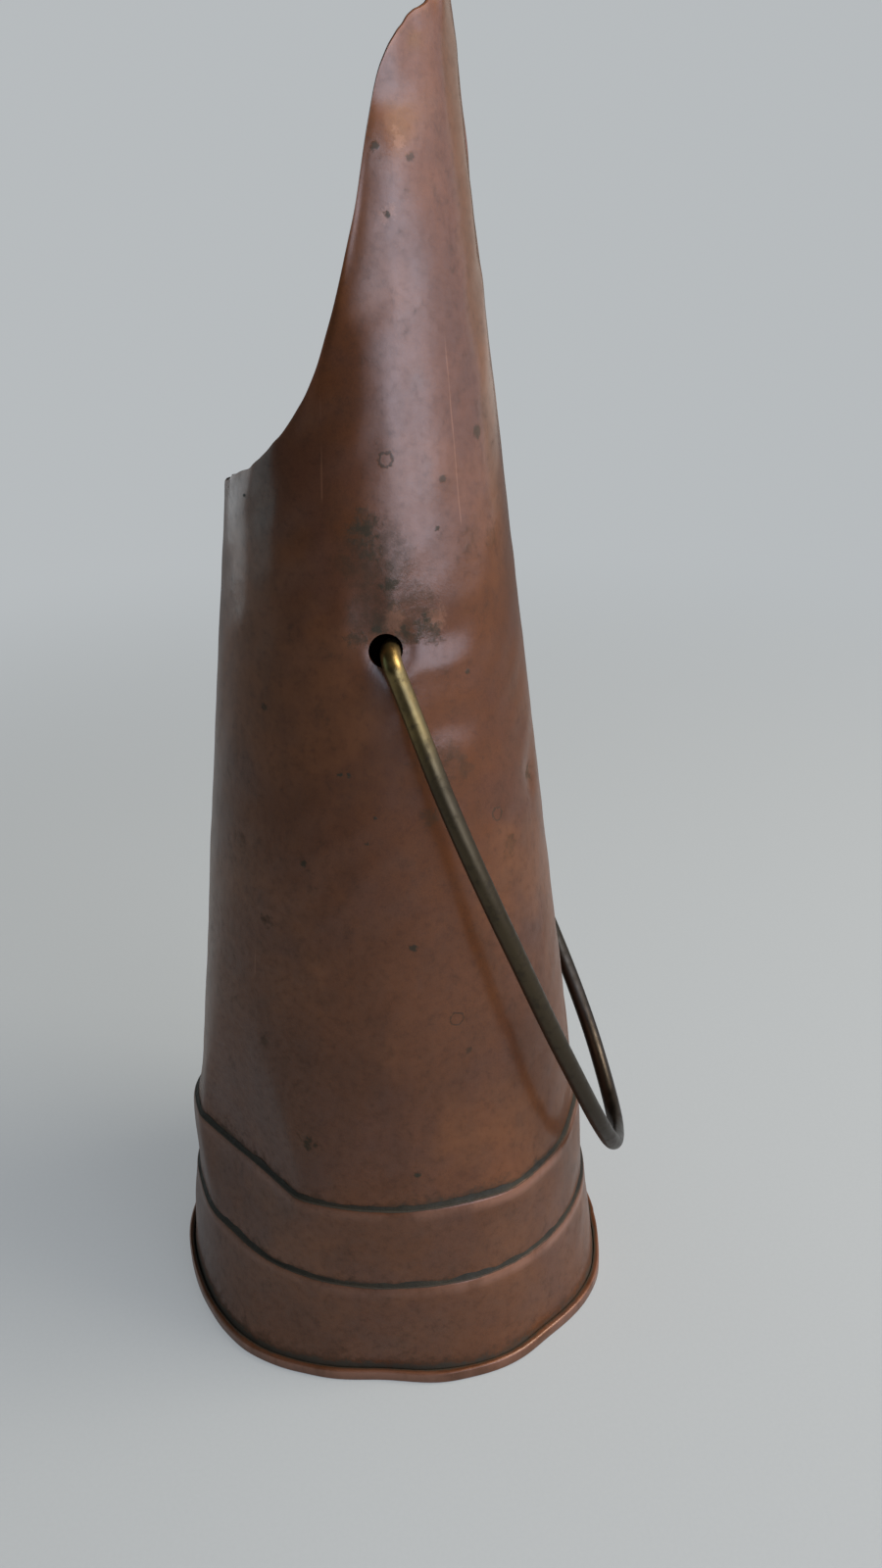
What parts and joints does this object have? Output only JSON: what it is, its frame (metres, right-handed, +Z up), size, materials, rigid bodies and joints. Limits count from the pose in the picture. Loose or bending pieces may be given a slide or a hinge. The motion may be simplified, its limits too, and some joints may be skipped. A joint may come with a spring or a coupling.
{
  "type": "copper pouring can",
  "caption": "Tall tapered copper can with a scoop-cut pouring mouth, a stepped two-band base and a swinging brass wire bail.",
  "frame": {"origin": "centre of the base plate's flat underside", "axes": "+Z up along the can, +X towards the tall pouring lip, bail axis parallel to Y"},
  "size_m": [0.1266, 0.121, 0.3157],
  "materials": {
    "body_copper": "old sheet copper with a brown patina, satin where rubbed, with dark spots and small dents",
    "base_copper": "old sheet copper, duller and pinker than the body, with dark grey-green grime in the laps",
    "soft_solder": "dull grey soft solder",
    "brass_wire": "round brass wire, dark olive brown, polished along the outside near the holes"
  },
  "bodies": {
    "can": {"body_shell": "body_copper", "upper_base_band": "base_copper", "lower_base_band": "base_copper", "base_plate": "base_copper", "base_solder_seam": "soft_solder"},
    "bail": {"bail_handle": "brass_wire"}
  },
  "joints": [
    {"name": "bail_swing", "type": "hinge", "parent": "can", "child": "bail", "pos_m": [0.0072, 0, 0.1895], "axis": [0, -1, 0], "range_deg": [-2, 316]}
  ]
}
